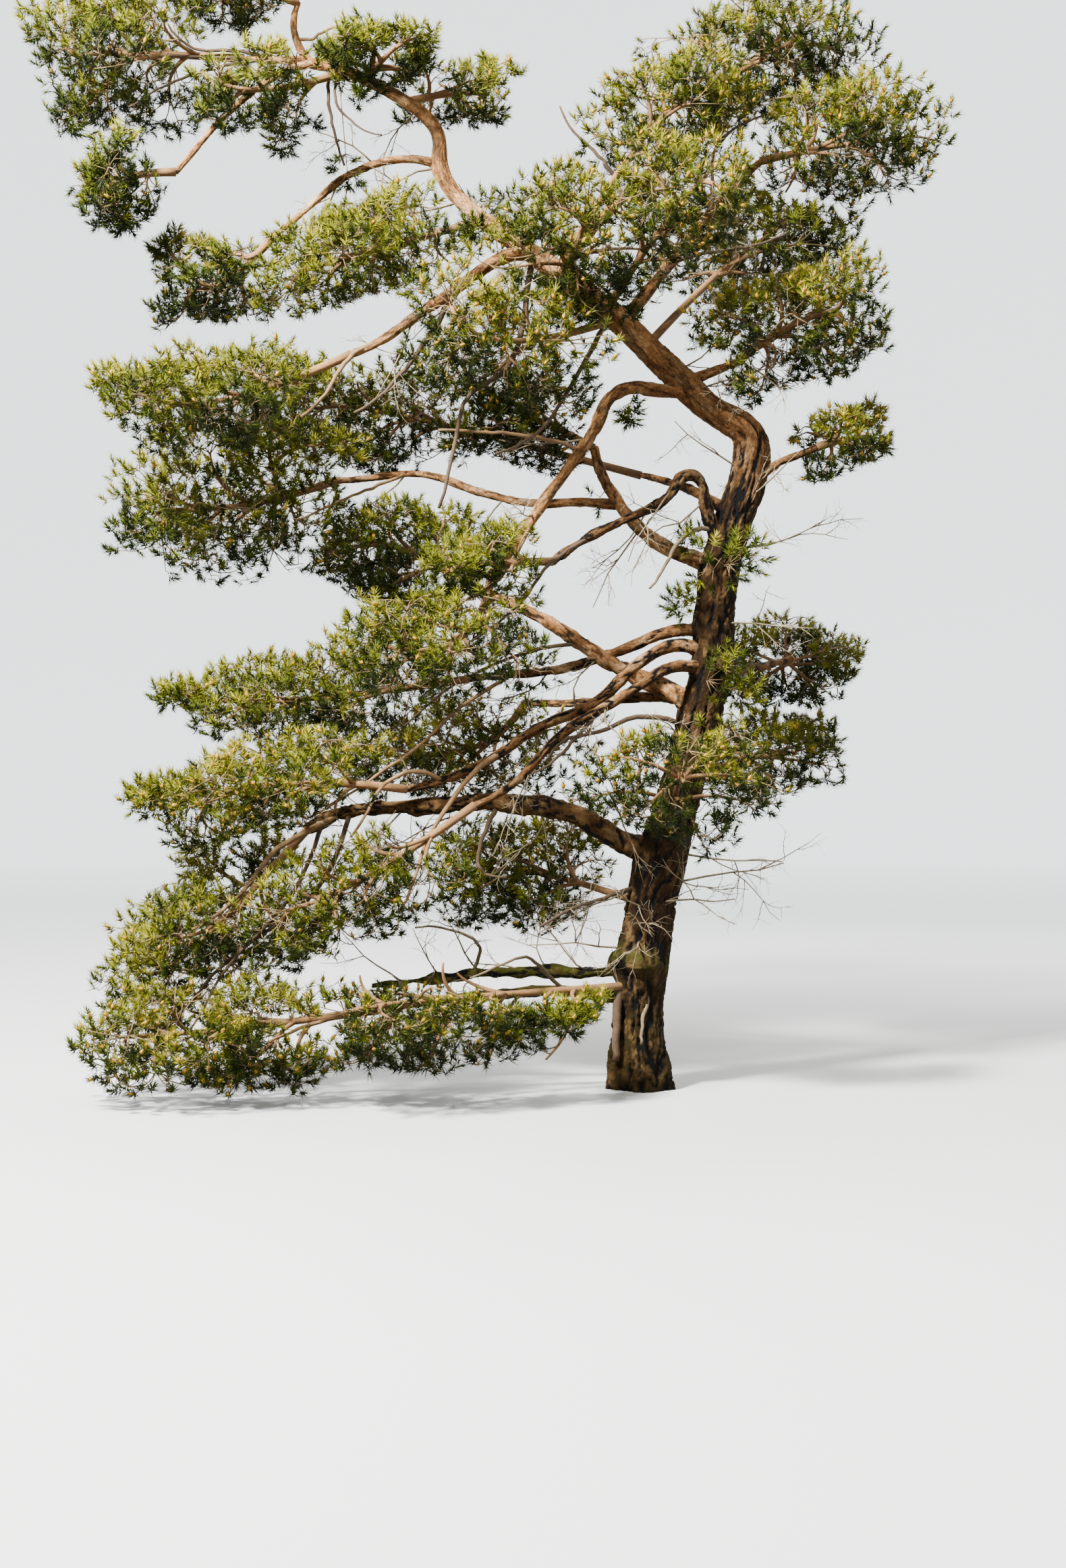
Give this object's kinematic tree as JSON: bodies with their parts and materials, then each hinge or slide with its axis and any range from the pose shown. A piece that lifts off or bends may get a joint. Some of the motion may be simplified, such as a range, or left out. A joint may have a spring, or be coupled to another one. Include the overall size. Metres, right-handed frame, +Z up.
{
  "type": "pine tree",
  "caption": "Gnarled pine tree, leaning and turned back at an elbow, with crooked boughs and separate masses of needles, cut flat at the ground.",
  "frame": {"origin": "middle of the flat cut under the trunk, at ground level", "axes": "+Z up; the trunk leans to +X as far as its elbow and then runs back over to -X, so most of the crown hangs to -X; +Y is the side away from the viewer"},
  "size_m": [7.0749, 4.0965, 8.5566],
  "materials": {
    "bark_low": "rough, deeply fissured grey-brown bark plates",
    "bark_upper": "thin flaking orange-brown bark",
    "needles": "matt needles, olive to yellow-green, with yellow pollen cones and bare twigs"
  },
  "bodies": {
    "root": {"trunk": "bark_low", "back_left_bough": "bark_upper", "back_low_bough": "bark_upper", "back_mid_bough": "bark_upper", "back_right_bough": "bark_upper", "crossing_bough": "bark_upper", "crown_hanging_bough": "bark_upper", "crown_left_bough": "bark_upper", "crown_up_bough": "bark_upper", "front_swept_bough": "bark_upper", "hook_bough": "bark_upper", "long_bough": "bark_upper", "low_bough": "bark_upper", "low_left_bough": "bark_upper", "orange_bough": "bark_upper", "right_bough": "bark_upper", "right_mid_bough": "bark_upper", "rising_bough": "bark_upper", "second_bough": "bark_upper", "shelf_stub": "bark_upper", "swept_bough": "bark_upper", "third_bough": "bark_upper", "top_right_bough": "bark_upper", "upper_right_bough": "bark_upper", "upper_swept_bough": "bark_upper", "back_high_mass": "needles", "back_left_mass": "needles", "back_low_mass": "needles", "back_mid_mass": "needles", "back_right_mass": "needles", "below_second_mass": "needles", "crossing_mass": "needles", "crown_hanging_mass": "needles", "crown_left_mass": "needles", "crown_over_mass": "needles", "crown_right_mass": "needles", "crown_top_mass": "needles", "crown_under_mass": "needles", "front_mass": "needles", "front_swept_mass": "needles", "hook_mass": "needles", "leader_front_mass": "needles", "leader_mass": "needles", "leader_top_mass": "needles", "long_mass": "needles", "low_back_mass": "needles", "low_far_mass": "needles", "low_front_mass": "needles", "low_left_mass": "needles", "orange_mass": "needles", "right_mass": "needles", "right_mid_mass": "needles", "rising_mass": "needles", "second_mass": "needles", "swept_mass": "needles", "third_mass": "needles", "top_right_mass": "needles", "under_leader_mass": "needles", "upper_right_mass": "needles", "upper_swept_mass": "needles"}
  },
  "joints": []
}
